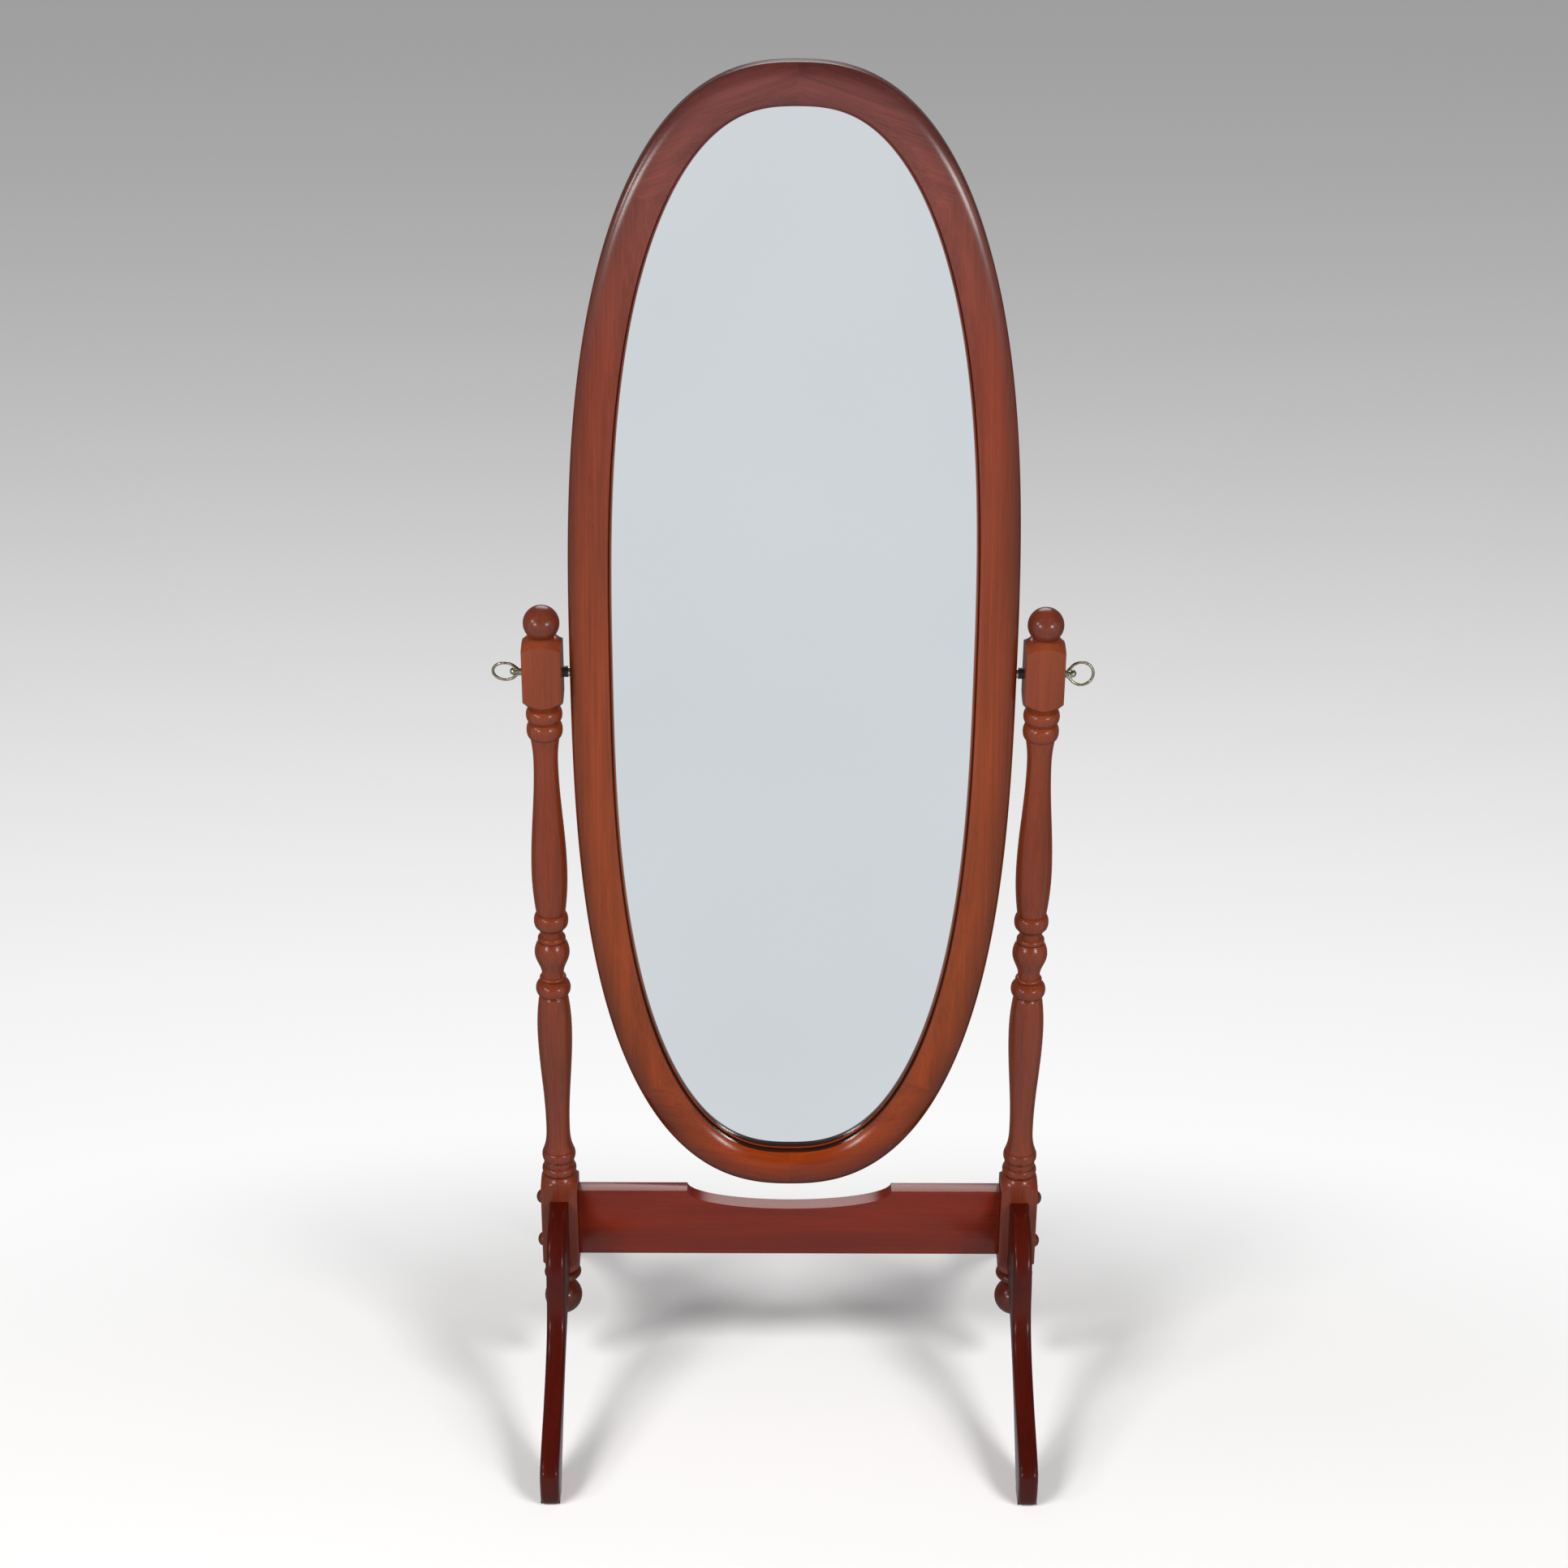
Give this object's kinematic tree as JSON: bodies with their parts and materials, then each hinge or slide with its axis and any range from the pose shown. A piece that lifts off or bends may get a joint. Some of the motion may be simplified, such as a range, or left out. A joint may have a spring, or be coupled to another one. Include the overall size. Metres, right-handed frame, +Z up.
{
  "type": "cheval mirror",
  "caption": "Floor-standing oval mirror that tilts between turned posts, joined by a scooped rail and standing on curved legs.",
  "frame": {"origin": "on the floor, midway between the posts", "axes": "+Z up, -Y the way the glass faces, +X to the viewer's right"},
  "size_m": [0.6274, 0.514, 1.506],
  "materials": {
    "post_wood": "high-gloss red-brown lacquer",
    "frame_wood": "high-gloss red-brown lacquer",
    "leg_wood": "high-gloss red-brown lacquer",
    "base_wood": "high-gloss red-brown lacquer",
    "dowel_wood": "bare beech",
    "board": "matt brown fibreboard",
    "mirror": "silvered float glass",
    "ring_metal": "antique plated, worn",
    "insert_steel": "bright plated",
    "washer": "black",
    "zinc_steel": "zinc plated"
  },
  "bodies": {
    "stand": {"left_post": "post_wood", "right_post": "post_wood", "left_drop_finial": "base_wood", "right_drop_finial": "base_wood", "stretcher_rail": "base_wood", "front_left_leg": "leg_wood", "front_right_leg": "leg_wood", "rear_left_leg": "leg_wood", "rear_right_leg": "leg_wood", "front_left_leg_dowels": "dowel_wood", "front_right_leg_dowels": "dowel_wood", "rear_left_leg_dowels": "dowel_wood", "rear_right_leg_dowels": "dowel_wood", "left_rail_bolts": "zinc_steel", "right_rail_bolts": "zinc_steel", "left_barrel_nuts": "zinc_steel", "right_barrel_nuts": "zinc_steel", "left_bolt_caps": "base_wood", "right_bolt_caps": "base_wood", "left_pivot_washer": "washer", "right_pivot_washer": "washer"},
    "mirror": {"frame_left_side": "frame_wood", "frame_right_side": "frame_wood", "frame_top_left": "frame_wood", "frame_top_right": "frame_wood", "frame_bottom_left": "frame_wood", "frame_bottom_right": "frame_wood", "mirror_glass": "mirror", "backing_board": "board", "backing_screws": "zinc_steel", "left_pivot_insert": "insert_steel", "right_pivot_insert": "insert_steel"},
    "left_screw": {"left_thumb_screw": "ring_metal"},
    "right_screw": {"right_thumb_screw": "ring_metal"}
  },
  "joints": [
    {"name": "mirror_tilt", "type": "hinge", "parent": "stand", "child": "mirror", "pos_m": [0, 0, 0.88], "axis": [1, 0, 0], "continuous": true},
    {"name": "left_screw_turn", "type": "hinge", "parent": "stand", "child": "left_screw", "pos_m": [-0.281, 0, 0.88], "axis": [-1, 0, 0], "range_deg": [0, 270]},
    {"name": "right_screw_turn", "type": "hinge", "parent": "stand", "child": "right_screw", "pos_m": [0.281, 0, 0.88], "axis": [1, 0, 0], "range_deg": [0, 270]}
  ]
}
